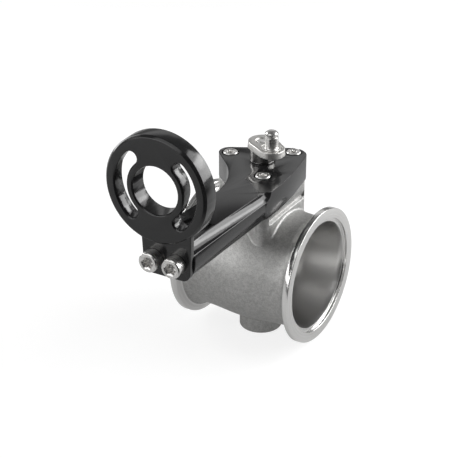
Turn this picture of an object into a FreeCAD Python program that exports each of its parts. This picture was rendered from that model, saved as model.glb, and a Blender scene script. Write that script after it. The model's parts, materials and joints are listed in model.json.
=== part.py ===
import FreeCAD, Part
import math
import os
from FreeCAD import Vector

# Butterfly turbo wastegate in millimetres.
# It is drawn about the valve centre: X runs along the tube towards the inlet, Z up the shaft,
# and the bracket's arm points along -Y. The written files have their origin at the inlet face.

# Tube and V-band flanges
inlet_length = 35.0            # valve centre to inlet face
outlet_length = 34.4           # valve centre to outlet face
flange_radius = 36.0
flange_rim_width = 3.2
flange_bevel_angle = 20.0      # the V of the clamp, from the flange's plane
hub_radius = 32.0              # where the bevel meets the cast body
recess_radius = 30.7           # register for the mating flange's lip
recess_depth = 1.5
mouth_radius = 28.6
throat_radius = 25.0
throat_half_length = 12.0
middle_wall = 6.3              # cast wall round the throat
waist_wall = 2.8               # cast wall at the waist, outside the tapered mouth
body_flare_length = 7.0        # cast fillet from the waist out to the bevel's root
flare_knee_place = 0.4         # share of the flare's length that does most of its rise
flare_knee_rise = 0.4          # height of the flare over the waist there

# Neck and bottom boss
screw_circle_radius = 18.75
screw_angles = {"left": 180.0, "back": 60.0, "front": -60.0}
column_radius = 6.0            # cast round each bracket screw
web_waist_radius = 15.0        # where the slightly hollow sides between the columns come nearest
undercut_top = 36.8            # undercut in each side: its roof slants in and down to a ledge
undercut_corner = 33.3
undercut_bottom = 32.5
undercut_depth = 1.8
neck_fillet = 1.6
boss_radius = 11.3
boss_reach = 13.8              # boss's bottom under the throat
boss_fillet = 2.5
boss_edge_round = 1.2

# Shaft, plate and bearings
shaft_radius = 5.0
shaft_chamfer = 0.5
shaft_top_below_lever = 0.4
shaft_end_gap = 0.3            # between the shaft's lower end and the plug's seal
running_clearance = 0.05
plate_clearance = 0.12
plate_thickness = 3.2
plate_chamfer = 0.3
plate_slot_play = 0.04
shaft_flat_offset = 4.2
bush_wall = 2.0
upper_bush_length = 11.0
lower_bush_length = 6.0
bush_shoulder_height = 1.6     # wall left between the bore and each bush
shaft_passage_play = 0.3
plug_radius = 8.0
plug_height = 5.4
plug_seal_thickness = 0.8
plug_seal_play = 0.8
plug_hex_across = 8.0
plug_hex_depth = 3.5
gland_seal_radius = 8.5
gland_seal_height = 3.2

# Bracket plate and arm
bracket_top = 58.0
bracket_thickness = 13.7
gasket_thickness = 0.5
lobe_radius = 6.1
corner_centre = (9.6, 12.6)
corner_radius = 8.2
bay_centre = (-44.2, -43.3)
bay_radius = 42.7
wall_centre = (-140.2, -26.0)
wall_radius = 162.4
arm_end = -100.0
arm_left = -7.0
arm_right = 20.6
bottom_round = 1.0
counterbore_radius = 4.6
counterbore_depth = 2.4
bracket_bush_length = 12.0
bracket_bush_cover = 1.2       # bracket left over its bush, where the lever's washer runs

# Form cut along the arm's right side, each size at the cutter's stop and at the foot
side_cutter_axis = (26.0, -36.5)
side_top_x = (18.75, 14.8)     # upper edge of the cove
side_corner = ((21.6, 53.8), (19.55, 54.3))   # corner between the cove and the belly, x and z
side_belly_x = (21.85, 20.5)   # widest part of the belly
side_foot_x = (20.6, 19.2)     # lower edge of the belly
cove_hollow = 0.55             # depth of the cove under a straight line

# Ring and its foot
ring_centre_x = 1.05
ring_centre_z = 84.45
ring_radius = 27.35
ring_thickness = 9.6
ring_bore_radius = 12.15
ring_stands_proud = 0.4        # ring face ahead of the foot's face
ring_front_chamfer = 1.2
ring_back_chamfer = 0.4
opening_chamfer = 0.6          # on the bore and slots, at the ring's front
slot_circle_radius = 18.8
slot_half_width = 3.3
slot_half_angle = 46.5
nut_recess_half_width = 5.2    # wider part of each slot, open at the ring's back
nut_recess_depth = 4.2
foot_thickness = 3.0
foot_right = 20.3
foot_bottom = 41.0
foot_taper = 0.9               # foot drawn in at its bottom, each side
foot_corner_radius = 4.6
scoop_clearance = 3.0          # arm cleared round the ring
scoop_length = 26.0

# Screws
screw_play = 0.05
small_screw = {"shank": 2.0, "head": 3.8, "height": 2.8, "length": 22.0, "socket": 1.9}
large_screw = {"shank": 3.0, "head": 5.0, "height": 6.0, "length": 18.0, "socket": 2.75}
plate_screw = {"shank": 1.5, "head": 2.75, "height": 1.6, "length": 8.6, "socket": 1.2}
button_dome = 0.2              # share of a button head's height that is domed
cap_edge = 0.1                 # rounding of a cap head's edge, as a share of its radius
socket_depth = 0.55            # share of the head's height
socket_lobe = 0.26             # share of the socket's radius
socket_core = 0.78
small_clearance_hole = 2.25
large_clearance_hole = 3.3
ring_screw_pitch = 12.4
ring_screw_height = 49.25
ring_screw_middle = 6.0
plate_screw_offset = 11.0

# Lever and pin
lever_washer_thickness = 0.6
lever_hub_radius = 6.4
lever_underside = 65.3
lever_thickness = 3.5
lever_hub_end_radius = 7.5
lever_pin_end_radius = 6.9
lever_draft = 0.15
lever_recess_radius = 3.6      # round the shaft's end
lever_recess_depth = 0.8
shaft_end_radius = 3.2
shaft_flats_across = 5.0
shaft_flats_start = 63.5
pin_place = (8.4, -5.75)
pin_radius = 3.45
pin_seat_radius = 5.4          # sunk in the lever round the pin's collar
pin_seat_depth = 0.7
pin_collar_radius = 4.9
pin_collar_height = 0.9
pin_tail_play = 0.15           # between the pin's tail and the lever's hub
pin_tail_height = 1.8
pin_groove_start = 73.3
pin_groove_width = 1.0
pin_groove_radius = 2.8
pin_top = 78.6
pin_dome_height = 3.5
pin_dome_bow = 0.75
pin_tip_flat = 0.9

overshoot = 1.0                # cutters run this far past the faces that they open
near = 0.1                     # how close a place counts as on an edge or a face

bracket_bottom = bracket_top - bracket_thickness
pad_top = bracket_bottom - gasket_thickness
foot_face = arm_end - foot_thickness
bush_radius = shaft_radius + bush_wall
plate_radius = throat_radius - plate_clearance
inside_bore = throat_radius / 2
lever_top = lever_underside + lever_thickness
pin_seat = lever_top - pin_seat_depth
boss_bottom = -throat_radius - boss_reach
pin_tail_radius = math.hypot(*pin_place) - lever_hub_radius - pin_tail_play
upper_bush_bottom = throat_radius + bush_shoulder_height
lower_bush_top = -upper_bush_bottom
lower_bush_bottom = lower_bush_top - lower_bush_length
plug_top = boss_bottom + plug_height


def cylinder(radius, low, high, x=0.0, y=0.0):
    """Upright cylinder between two heights."""
    return Part.makeCylinder(radius, high - low, Vector(x, y, low))


def cylinder_along_y(radius, back, front, x, z):
    """Cylinder along Y, from its back end to its front end at the lower y."""
    return Part.makeCylinder(radius, back - front, Vector(x, front, z), Vector(0, 1, 0))


def tube(outer, inner, low, high):
    """Upright ring or bush about the shaft's axis."""
    return cylinder(outer, low, high).cut(cylinder(inner, low - overshoot, high + overshoot))


def polygon_face(points):
    """Flat face inside straight sides."""
    corners = [Vector(*point) for point in points]
    return Part.Face(Part.makePolygon(corners + corners[:1]))


def belt(discs, height=0.0):
    """Closed outline that runs round discs (x, y, radius) like a belt, with a disc of negative
    radius on its outer side. A disc of no radius is a sharp corner."""
    count = len(discs)
    headings = []
    for i in range(count):
        x1, y1, r1 = discs[i]
        x2, y2, r2 = discs[(i + 1) % count]
        distance = math.hypot(x2 - x1, y2 - y1)
        slant = math.asin(max(-1.0, min(1.0, (r2 - r1) / distance)))
        headings.append(math.atan2(y2 - y1, x2 - x1) - slant)

    def touch(disc, heading):
        x, y, radius = disc
        return Vector(x + radius * math.sin(heading), y - radius * math.cos(heading), height)

    begins = [touch(discs[i], headings[i - 1]) for i in range(count)]
    ends = [touch(discs[i], headings[i]) for i in range(count)]
    edges = []
    for i in range(count):
        if (begins[i] - ends[i - 1]).Length > 0.001:
            edges.append(Part.makeLine(ends[i - 1], begins[i]))
        else:
            begins[i] = ends[i - 1]
        turn = (headings[i] - headings[i - 1]) % (2 * math.pi)
        if discs[i][2] < 0:
            turn -= 2 * math.pi
        if discs[i][2]:
            middle = touch(discs[i], headings[i - 1] + turn / 2)
            edges.append(Part.Arc(begins[i], middle, ends[i]).toShape())
    return Part.Wire(edges)


def bowed_edge(start, end, bow):
    """Arc in an XZ plane that leaves its chord by the bow, on the right of the way to its end."""
    chord = end - start
    right = Vector(chord.z, 0, -chord.x).normalize()
    return Part.Arc(start, (start + end) / 2 + right * bow, end).toShape()


def prism(outline, height):
    """Upright solid on a flat outline."""
    return Part.Face(outline).extrude(Vector(0, 0, height))


def polar(radius, degrees):
    """Point at an angle about the shaft."""
    return radius * math.cos(math.radians(degrees)), radius * math.sin(math.radians(degrees))


def neck_outline(height):
    """Plan of the neck: a column round each screw, joined by sides that are slightly hollow."""
    step = web_waist_radius - column_radius
    centre = (screw_circle_radius ** 2 - step ** 2) / (screw_circle_radius - 2 * step)
    discs = []
    for angle in sorted(screw_angles.values()):
        discs.append((*polar(screw_circle_radius, angle), column_radius))
        discs.append((*polar(centre, angle + 60), web_waist_radius - centre))
    return belt(discs, height)


def side_undercut(angle):
    """Cutter for the undercut in the side of the neck that faces an angle. Its two faces run on
    past the side, and it runs out on the round of the columns."""
    corner_x, outside = web_waist_radius - undercut_depth, overshoot / undercut_depth
    roof = undercut_top + outside * (undercut_top - undercut_corner)
    ledge = undercut_bottom - outside * (undercut_corner - undercut_bottom)
    outer_x = web_waist_radius + overshoot
    cutter = polygon_face([(corner_x, -screw_circle_radius, undercut_corner),
                           (outer_x, -screw_circle_radius, ledge),
                           (outer_x, -screw_circle_radius, roof)])
    cutter = cutter.extrude(Vector(0, 2 * screw_circle_radius, 0))
    cutter.rotate(Vector(0, 0, 0), Vector(0, 0, 1), angle)
    return cutter


def screw_places():
    """Bracket screw positions by name."""
    return {name: polar(screw_circle_radius, angle) for name, angle in screw_angles.items()}


def edges_near(shape, test):
    """Edges whose middle point passes the test."""
    found = []
    for edge in shape.Edges:
        first, last = edge.ParameterRange
        if test(edge.valueAt((first + last) / 2), edge):
            found.append(edge)
    return found


def mouth_radius_at(x, length):
    """Radius of the tapered mouth at a distance from the valve centre."""
    taper = (mouth_radius - throat_radius) / (length - recess_depth - throat_half_length)
    return throat_radius + taper * (x - throat_half_length)


def outer_body():
    """Turned outside of the tube: two V-band flanges and a gently barrelled body."""
    bevel = (flange_radius - hub_radius) * math.tan(math.radians(flange_bevel_angle))

    def end(length, side):
        rim = length - flange_rim_width
        root = rim - bevel
        knee = root - flare_knee_place * body_flare_length
        waist = root - body_flare_length
        waist_radius = mouth_radius_at(waist, length) + waist_wall
        return [Vector(side * length, 0, 0), Vector(side * length, flange_radius, 0),
                Vector(side * rim, flange_radius, 0), Vector(side * root, hub_radius, 0),
                Vector(side * knee, waist_radius + flare_knee_rise, 0),
                Vector(side * waist, waist_radius, 0)]

    near_end, far_end = end(inlet_length, 1), end(outlet_length, -1)
    middle = Vector(0, throat_radius + middle_wall, 0)
    cast = Part.BSplineCurve()
    cast.interpolate(near_end[3:] + [middle] + far_end[:2:-1])
    outside = near_end[:4]
    other = far_end[3::-1]
    edges = [Part.makeLine(a, b) for a, b in zip(outside, outside[1:])] + [cast.toShape()]
    edges += [Part.makeLine(a, b) for a, b in zip(other, other[1:] + outside[:1])]
    return Part.Face(Part.Wire(edges)).revolve(Vector(0, 0, 0), Vector(1, 0, 0), 360)


def bore():
    """Turned hollow of the tube: registers, tapered mouths and the throat round the plate."""
    points = []
    for length, side in ((inlet_length, 1), (outlet_length, -1)):
        mouth, shoulder = length + overshoot, length - recess_depth
        half = [(side * mouth, 0), (side * mouth, recess_radius), (side * shoulder, recess_radius),
                (side * shoulder, mouth_radius), (side * throat_half_length, throat_radius)]
        points += half if side > 0 else half[::-1]
    face = polygon_face([(x, radius, 0) for x, radius in points])
    return face.revolve(Vector(0, 0, 0), Vector(1, 0, 0), 360)


def cast_body():
    """Casting before it is machined: tube, neck with three screw columns and bottom boss."""
    body = outer_body()
    body = body.fuse(prism(neck_outline(inside_bore), pad_top - inside_bore))
    body = body.fuse(cylinder(boss_radius, boss_bottom, -inside_bore)).removeSplitter()

    def on_tube(point, edge):
        reach = throat_radius + middle_wall + near
        return math.hypot(point.y, point.z) < reach and edge.BoundBox.ZLength > near

    column_reach = screw_circle_radius + column_radius + near
    neck_foot = edges_near(body, lambda p, e: on_tube(p, e) and p.z > inside_bore and
                           math.hypot(p.x, p.y) < column_reach)
    body = body.makeFillet(neck_fillet, neck_foot)
    boss_foot = edges_near(body, lambda p, e: on_tube(p, e) and p.z < -inside_bore and
                           abs(math.hypot(p.x, p.y) - boss_radius) < near)
    body = body.makeFillet(boss_fillet, boss_foot)
    boss_edge = edges_near(body, lambda p, e: abs(p.z - boss_bottom) < near)
    body = body.makeFillet(boss_edge_round, boss_edge)
    for angle in screw_angles.values():
        body = body.cut(side_undercut(angle + 180))
    return body


def valve_housing():
    """Cast housing with its bore, bearing seats, plug thread and screw holes."""
    body = cast_body().cut(bore())
    over_pad = pad_top + overshoot
    body = body.cut(cylinder(shaft_radius + shaft_passage_play, lower_bush_bottom, over_pad))
    body = body.cut(cylinder(bush_radius, upper_bush_bottom, upper_bush_bottom + upper_bush_length))
    body = body.cut(cylinder(gland_seal_radius, pad_top - gland_seal_height, over_pad))
    body = body.cut(cylinder(bush_radius, lower_bush_bottom, lower_bush_top))
    body = body.cut(cylinder(plug_radius + screw_play, boss_bottom - overshoot, lower_bush_bottom))
    hole_end = bracket_top - counterbore_depth - small_screw["length"] - overshoot
    for x, y in screw_places().values():
        body = body.cut(cylinder(small_screw["shank"] + screw_play, hole_end, over_pad, x, y))
    return body


def bracket_outline():
    """Plan of the bracket: left lobe, hollow bay, arm, bowed right wall and back corner."""
    left_x, left_y = polar(screw_circle_radius, screw_angles["left"])
    discs = [(left_x, left_y, lobe_radius), (*bay_centre, -bay_radius),
             (arm_left, arm_end, 0.0), (arm_right, arm_end, 0.0),
             (*wall_centre, wall_radius), (*corner_centre, corner_radius)]
    return belt(discs, bracket_bottom)


def side_section(place, y):
    """Section of what the form cutter takes from the arm's right side: a cove under the top edge,
    a corner, and the belly's hollow below it. Place 0 is the cutter's stop and 1 is the foot."""
    axis_x = side_cutter_axis[0]
    corner_x, corner_z = side_corner[place]
    high, low = bracket_top + overshoot, bracket_bottom - overshoot
    top = Vector(side_top_x[place], y, bracket_top)
    corner = Vector(corner_x, y, corner_z)
    belly = Vector(side_belly_x[place], y, (corner_z + bracket_bottom) / 2)
    foot = Vector(side_foot_x[place], y, bracket_bottom)
    return Part.Wire([
        Part.makeLine(Vector(top.x, y, high), top), bowed_edge(top, corner, cove_hollow),
        Part.Arc(corner, belly, foot).toShape(), Part.makeLine(foot, Vector(foot.x, y, low)),
        Part.makeLine(Vector(foot.x, y, low), Vector(axis_x, y, low)),
        Part.makeLine(Vector(axis_x, y, low), Vector(axis_x, y, high)),
        Part.makeLine(Vector(axis_x, y, high), Vector(top.x, y, high))])


def side_cutter():
    """Form cutter's path along the arm, with the round run-out where it stops."""
    axis_x, stop = side_cutter_axis
    start = side_section(0, stop)
    along = Part.makeLoft([start, side_section(1, arm_end - overshoot)], True, True)
    run_out = Part.Face(start).revolve(Vector(axis_x, stop, 0), Vector(0, 0, -1), 180)
    return along.fuse(run_out)


def actuator_bracket():
    """Machined bracket plate with its arm, screw counterbores and the scoop under the ring."""
    body = prism(bracket_outline(), bracket_thickness)
    low = edges_near(body, lambda p, e: abs(p.z - bracket_bottom) < near and
                     p.y > arm_end + overshoot)
    body = body.makeFillet(bottom_round, low)
    body = body.cut(side_cutter())
    scoop = cylinder_along_y(ring_radius + scoop_clearance, arm_end + scoop_length,
                             arm_end - overshoot, ring_centre_x, ring_centre_z)
    body = body.cut(scoop)
    under = bracket_bottom - overshoot
    for x, y in screw_places().values():
        body = body.cut(cylinder(small_clearance_hole, under, bracket_top, x, y))
        body = body.cut(cylinder(counterbore_radius, bracket_top - counterbore_depth,
                                 bracket_top + overshoot, x, y))
    body = body.cut(cylinder(bush_radius, under, bracket_top - bracket_bush_cover))
    body = body.cut(cylinder(shaft_radius + shaft_passage_play, under, bracket_top + overshoot))
    hole_end = foot_face + large_screw["length"] + overshoot
    for x in ring_screw_xs():
        body = body.cut(cylinder_along_y(large_screw["shank"] + screw_play, hole_end,
                                         arm_end - overshoot, x, ring_screw_height))
    return body


def ring_screw_xs():
    """X of the left and the right ring screw."""
    return ring_screw_middle - ring_screw_pitch / 2, ring_screw_middle + ring_screw_pitch / 2


def arc_slot(centre_angle, half_width, low, high):
    """Upright cutter for a curved slot about the Z axis, between two heights."""
    first, last = centre_angle - slot_half_angle, centre_angle + slot_half_angle
    inner, outer = slot_circle_radius - half_width, slot_circle_radius + half_width

    def at(radius, angle):
        return Vector(*polar(radius, angle), low)

    def round_end(angle, outward):
        x, y = polar(slot_circle_radius, angle)
        tip = polar(half_width, angle + outward)
        return Vector(x + tip[0], y + tip[1], low)

    edges = [Part.Arc(at(outer, first), at(outer, centre_angle), at(outer, last)).toShape(),
             Part.Arc(at(outer, last), round_end(last, 90), at(inner, last)).toShape(),
             Part.Arc(at(inner, last), at(inner, centre_angle), at(inner, first)).toShape(),
             Part.Arc(at(inner, first), round_end(first, -90), at(outer, first)).toShape()]
    return Part.Face(Part.Wire(edges)).extrude(Vector(0, 0, high - low))


def stud_slots():
    """Cutter for both slots: stud width right through, and nut width at the ring's back."""
    low, high = -overshoot, ring_thickness + overshoot
    left, right = (arc_slot(angle, slot_half_width, low, high) for angle in (180, 0))
    cutter = left.fuse(right)
    for angle in (180, 0):
        cutter = cutter.fuse(arc_slot(angle, nut_recess_half_width, low, nut_recess_depth))
    return cutter


def stand_up(shape, face_y):
    """Turn a flat shape drawn in XY so that its Y points up and its Z to the front."""
    turned = shape.copy()
    turned.rotate(Vector(0, 0, 0), Vector(1, 0, 0), 90)
    turned.translate(Vector(0, face_y, 0))
    return turned


def rim_seat(x):
    """Height where the foot's side ends, inside the ring between its slots and its rim."""
    seat = (slot_circle_radius + slot_half_width + ring_radius) / 2
    return ring_centre_z - math.sqrt(seat ** 2 - (x - ring_centre_x) ** 2)


def slotted_disc():
    """Ring lying flat with its front up, with its bore, slots and broken edges."""
    disc = Part.makeCylinder(ring_radius, ring_thickness)
    for height, width in ((ring_thickness, ring_front_chamfer), (0, ring_back_chamfer)):
        rim = edges_near(disc, lambda p, e: e.Closed and abs(p.z - height) < near)
        disc = disc.makeChamfer(width, rim)
    disc = disc.cut(Part.makeCylinder(ring_bore_radius, ring_thickness)).cut(stud_slots())
    front_edges = edges_near(disc, lambda p, e: abs(p.z - ring_thickness) < near and
                             math.hypot(p.x, p.y) < ring_radius - ring_front_chamfer - near)
    return disc.makeChamfer(opening_chamfer, front_edges)


def actuator_mount_ring():
    """Slotted ring in one piece with its foot plate."""
    disc, slots = slotted_disc(), stud_slots()
    for shape in (disc, slots):
        shape.translate(Vector(ring_centre_x, ring_centre_z, ring_stands_proud - ring_thickness))
    radius = foot_corner_radius
    low, inset = foot_bottom + radius, foot_taper + radius
    discs = [(arm_left, rim_seat(arm_left), 0.0), (arm_left + inset, low, radius),
             (foot_right - inset, low, radius), (foot_right, rim_seat(foot_right), 0.0)]
    foot = prism(belt(discs), foot_thickness)
    for x in ring_screw_xs():
        foot = foot.cut(cylinder(large_clearance_hole, -overshoot, foot_thickness + overshoot,
                                 x, ring_screw_height))
    foot.translate(Vector(0, 0, -foot_thickness))
    return stand_up(foot.cut(slots).fuse(disc).removeSplitter(), foot_face)


def lobed_socket(radius, depth):
    """Six-lobed driver recess, sunk from z = 0."""
    core = Part.makeCylinder(socket_core * radius, depth, Vector(0, 0, -depth))
    lobe = socket_lobe * radius
    for i in range(6):
        x, y = polar(radius - lobe, 60 * i)
        core = core.fuse(Part.makeCylinder(lobe, depth, Vector(x, y, -depth)))
    return core


def cap_screw(size, dome=0.0):
    """Screw standing on its seat at z = 0, with its shank below. A dome rounds the head's top."""
    shank, head, height, length = size["shank"], size["head"], size["height"], size["length"]
    edge = dome or cap_edge * head
    round_start, round_end = Vector(head, 0, height - edge), Vector(head - edge, 0, height)
    corners = [(head - edge, height), (0, height), (0, -length), (shank, -length), (shank, 0), (head, 0),
               (head, height - edge)]
    points = [Vector(radius, 0, z) for radius, z in corners]
    profile = [Part.makeLine(a, b) for a, b in zip(points, points[1:])]
    quarter_bow = edge * (1 - math.sqrt(0.5))
    profile.append(bowed_edge(round_start, round_end, quarter_bow))
    body = Part.Face(Part.Wire(profile)).revolve(Vector(0, 0, 0), Vector(0, 0, 1), 360)
    socket = lobed_socket(size["socket"], socket_depth * height)
    socket.translate(Vector(0, 0, height))
    return body.cut(socket)


def bracket_screws():
    """The three button heads in their counterbores, by name."""
    screws = {}
    for name, (x, y) in screw_places().items():
        screw = cap_screw(small_screw, button_dome * small_screw["height"])
        screw.translate(Vector(x, y, bracket_top - counterbore_depth))
        screws["bracket_screw_" + name] = screw
    return screws


def ring_screws():
    """The two cap screws through the foot, by name."""
    screws = {}
    for name, x in zip(("left", "right"), ring_screw_xs()):
        screw = cap_screw(large_screw)
        screw.rotate(Vector(0, 0, 0), Vector(1, 0, 0), 90)
        screw.translate(Vector(x, foot_face, ring_screw_height))
        screws["ring_screw_" + name] = screw
    return screws


def plate_screws():
    """The two screws that hold the plate in the shaft's slot, by name."""
    screws = {}
    for name, side in (("upper", 1), ("lower", -1)):
        screw = cap_screw(plate_screw)
        screw.rotate(Vector(0, 0, 0), Vector(0, 1, 0), 90)
        screw.translate(Vector(shaft_flat_offset, 0, side * plate_screw_offset))
        screws["plate_screw_" + name] = screw
    return screws


def plate_screw_holes():
    """Holes through shaft and plate for both plate screws."""
    holes = []
    for side in (1, -1):
        start = Vector(-2 * shaft_radius, 0, side * plate_screw_offset)
        holes.append(Part.makeCylinder(plate_screw["shank"] + screw_play, 4 * shaft_radius, start,
                                       Vector(1, 0, 0)))
    return holes[0].fuse(holes[1])


def valve_shaft():
    """Shaft with the plate's slot, a flat for its screws and flats for the lever."""
    bottom = plug_top + plug_seal_thickness + shaft_end_gap
    top = lever_top - shaft_top_below_lever
    body = cylinder(shaft_radius, bottom, top)
    body = body.makeChamfer(shaft_chamfer, edges_near(body, lambda p, e: e.Closed))
    half = plate_thickness / 2 + plate_slot_play
    height = plate_radius + plate_slot_play
    slot = Part.makeBox(2 * half, 4 * shaft_radius, 2 * height,
                        Vector(-half, -2 * shaft_radius, -height))
    flat = Part.makeBox(shaft_radius, 4 * shaft_radius, 2 * height,
                        Vector(shaft_flat_offset, -2 * shaft_radius, -height))
    body = body.cut(slot).cut(flat).cut(plate_screw_holes())
    return body.common(lever_fit(0, top + overshoot))


def lever_fit(play, top):
    """Column that is round up to the lever's seat and a narrower double-D above it."""
    lower = cylinder(shaft_radius + play, boss_bottom, shaft_flats_start)
    upper = cylinder(shaft_end_radius + play, shaft_flats_start, top)
    angle = math.degrees(math.atan2(pin_place[1], pin_place[0]))
    half_across = shaft_flats_across / 2 + play
    flats = Part.makeBox(4 * shaft_radius, 2 * half_across, top - shaft_flats_start,
                         Vector(-2 * shaft_radius, -half_across, shaft_flats_start))
    flats.rotate(Vector(0, 0, 0), Vector(0, 0, 1), angle)
    return lower.fuse(upper.common(flats))


def butterfly_plate():
    """Round plate across the throat, in the shaft's slot."""
    plate = Part.makeCylinder(plate_radius, plate_thickness, Vector(-plate_thickness / 2, 0, 0),
                              Vector(1, 0, 0))
    plate = plate.makeChamfer(plate_chamfer, edges_near(plate, lambda p, e: e.Closed))
    return plate.cut(plate_screw_holes())


def boss_plug():
    """Threaded plug in the bottom boss, with a hexagon recess."""
    plug = cylinder(plug_radius, boss_bottom, plug_top)
    corners = [(*polar(plug_hex_across / math.sqrt(3), 60 * i), boss_bottom) for i in range(6)]
    recess = polygon_face(corners).extrude(Vector(0, 0, plug_hex_depth))
    return plug.cut(recess)


def pad_gasket():
    """Gasket of the neck's outline between neck and bracket."""
    low, high = pad_top - overshoot, bracket_bottom + overshoot
    body = prism(neck_outline(pad_top), gasket_thickness)
    body = body.cut(cylinder(gland_seal_radius, low, high))
    for x, y in screw_places().values():
        body = body.cut(cylinder(small_clearance_hole, low, high, x, y))
    return body


def lever_arm():
    """Cast lever: drafted plate over a round hub, with a recess over the shaft's end."""
    def plan(shrink, height):
        return belt([(0, 0, lever_hub_end_radius - shrink),
                     (*pin_place, lever_pin_end_radius - shrink)], height)

    plate = Part.makeLoft([plan(-lever_draft, lever_underside), plan(lever_draft, lever_top)], True)
    hub_bottom = bracket_top + lever_washer_thickness + running_clearance
    body = plate.fuse(cylinder(lever_hub_radius, hub_bottom, lever_underside + overshoot))
    over_lever = lever_top + overshoot
    body = body.cut(lever_fit(running_clearance, over_lever))
    body = body.cut(cylinder(lever_recess_radius, lever_top - lever_recess_depth, over_lever))
    body = body.cut(cylinder(pin_seat_radius, pin_seat, over_lever, *pin_place))
    return body.cut(cylinder(pin_radius + screw_play, lever_underside - overshoot, over_lever,
                             *pin_place))


def lever_pin():
    """Turned pin: tail under the lever, collar in its seat, clip groove and domed tip."""
    collar_top = pin_seat + pin_collar_height
    groove_end = pin_groove_start + pin_groove_width
    tail_end = lever_underside - pin_tail_height
    points = [(0, pin_top), (0, tail_end), (pin_tail_radius, tail_end),
              (pin_tail_radius, lever_underside), (pin_radius, lever_underside),
              (pin_radius, pin_seat), (pin_collar_radius, pin_seat),
              (pin_collar_radius, collar_top), (pin_radius, collar_top),
              (pin_radius, pin_groove_start), (pin_groove_radius, pin_groove_start),
              (pin_groove_radius, groove_end), (pin_radius, groove_end),
              (pin_radius, pin_top - pin_dome_height)]
    corners = [Vector(radius, 0, z) for radius, z in points]
    crown = Vector(pin_tip_flat, 0, pin_top)
    edges = [Part.makeLine(a, b) for a, b in zip(corners, corners[1:])]
    edges += [bowed_edge(corners[-1], crown, pin_dome_bow), Part.makeLine(crown, corners[0])]
    pin = Part.Face(Part.Wire(edges)).revolve(Vector(0, 0, 0), Vector(0, 0, 1), 360)
    pin.translate(Vector(*pin_place, 0))
    return pin


def bearings_and_seals():
    """Bushes, seals and washers about the shaft, by name."""
    inner = shaft_radius + running_clearance
    bracket_bush_top = bracket_top - bracket_bush_cover
    return {
        "upper_bush": tube(bush_radius, inner, upper_bush_bottom, upper_bush_bottom + upper_bush_length),
        "lower_bush": tube(bush_radius, inner, lower_bush_bottom, lower_bush_top),
        "gland_seal": tube(gland_seal_radius, inner, pad_top - gland_seal_height, pad_top),
        "bracket_bush": tube(bush_radius, inner, bracket_bush_top - bracket_bush_length, bracket_bush_top),
        "plug_seal": tube(plug_radius, shaft_radius + plug_seal_play, plug_top,
                          plug_top + plug_seal_thickness),
        "lever_washer": tube(lever_hub_radius, inner, bracket_top, bracket_top + lever_washer_thickness),
    }


def assembly():
    """Every piece of the wastegate by name."""
    pieces = {
        "valve_housing": valve_housing(),
        "butterfly_plate": butterfly_plate(),
        "valve_shaft": valve_shaft(),
        "boss_plug": boss_plug(),
        "pad_gasket": pad_gasket(),
        "actuator_bracket": actuator_bracket(),
        "actuator_mount_ring": actuator_mount_ring(),
        "lever_arm": lever_arm(),
        "lever_pin": lever_pin(),
    }
    for group in (plate_screws(), bracket_screws(), ring_screws(), bearings_and_seals()):
        pieces.update(group)
    return pieces


os.makedirs("parts", exist_ok=True)
for name, shape in assembly().items():
    solid = shape.copy()
    solid.translate(Vector(-inlet_length, 0, 0))
    solid.exportStep("parts/" + name + ".step")
    print(name, solid.ShapeType, len(solid.Solids), solid.isValid(), round(solid.Volume, 1))
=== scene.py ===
"""Butterfly wastegate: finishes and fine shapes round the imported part, and a small studio."""

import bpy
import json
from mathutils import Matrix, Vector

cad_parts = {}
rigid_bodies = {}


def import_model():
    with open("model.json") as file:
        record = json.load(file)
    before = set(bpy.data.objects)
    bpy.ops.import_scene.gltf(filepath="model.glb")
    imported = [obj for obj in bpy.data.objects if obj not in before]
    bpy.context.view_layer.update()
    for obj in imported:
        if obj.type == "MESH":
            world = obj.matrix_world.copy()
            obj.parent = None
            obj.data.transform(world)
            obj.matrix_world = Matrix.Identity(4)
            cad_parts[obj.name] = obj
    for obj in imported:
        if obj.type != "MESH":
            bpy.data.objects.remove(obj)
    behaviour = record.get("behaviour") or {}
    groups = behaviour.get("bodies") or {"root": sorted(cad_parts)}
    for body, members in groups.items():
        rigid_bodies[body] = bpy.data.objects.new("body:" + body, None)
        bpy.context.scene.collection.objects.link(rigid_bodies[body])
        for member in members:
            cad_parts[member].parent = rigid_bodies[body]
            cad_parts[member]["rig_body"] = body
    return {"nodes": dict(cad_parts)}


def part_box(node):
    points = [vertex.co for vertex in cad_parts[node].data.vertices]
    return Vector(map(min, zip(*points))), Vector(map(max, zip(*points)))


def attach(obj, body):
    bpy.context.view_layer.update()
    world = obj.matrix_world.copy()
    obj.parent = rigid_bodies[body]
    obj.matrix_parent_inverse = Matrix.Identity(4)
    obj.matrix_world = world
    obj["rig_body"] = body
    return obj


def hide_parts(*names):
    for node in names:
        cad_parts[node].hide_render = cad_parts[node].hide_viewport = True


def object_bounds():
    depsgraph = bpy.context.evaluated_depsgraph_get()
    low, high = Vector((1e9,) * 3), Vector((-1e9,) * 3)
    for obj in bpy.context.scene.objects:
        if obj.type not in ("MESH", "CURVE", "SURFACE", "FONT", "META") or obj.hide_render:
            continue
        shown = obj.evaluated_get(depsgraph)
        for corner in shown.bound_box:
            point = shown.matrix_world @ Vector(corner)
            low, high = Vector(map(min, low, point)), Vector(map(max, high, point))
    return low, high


bl_info = {
    "name": "Butterfly Wastegate",
    "version": (1, 0, 0),
    "blender": (4, 5, 0),
    "location": "3D View > Sidebar > Wastegate",
    "description": "Dresses a butterfly wastegate's pieces and lights them in a small studio",
    "category": "Object",
}

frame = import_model()
cad_low, cad_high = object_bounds()

import json
import math

import bmesh
import bpy
import numpy as np
from bpy.props import FloatProperty, FloatVectorProperty, IntProperty, PointerProperty
from mathutils import Matrix, Vector

WELD = 1e-6
MILLIMETRE = 0.001
FLAT_ANGLE = math.radians(0.05)


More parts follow.
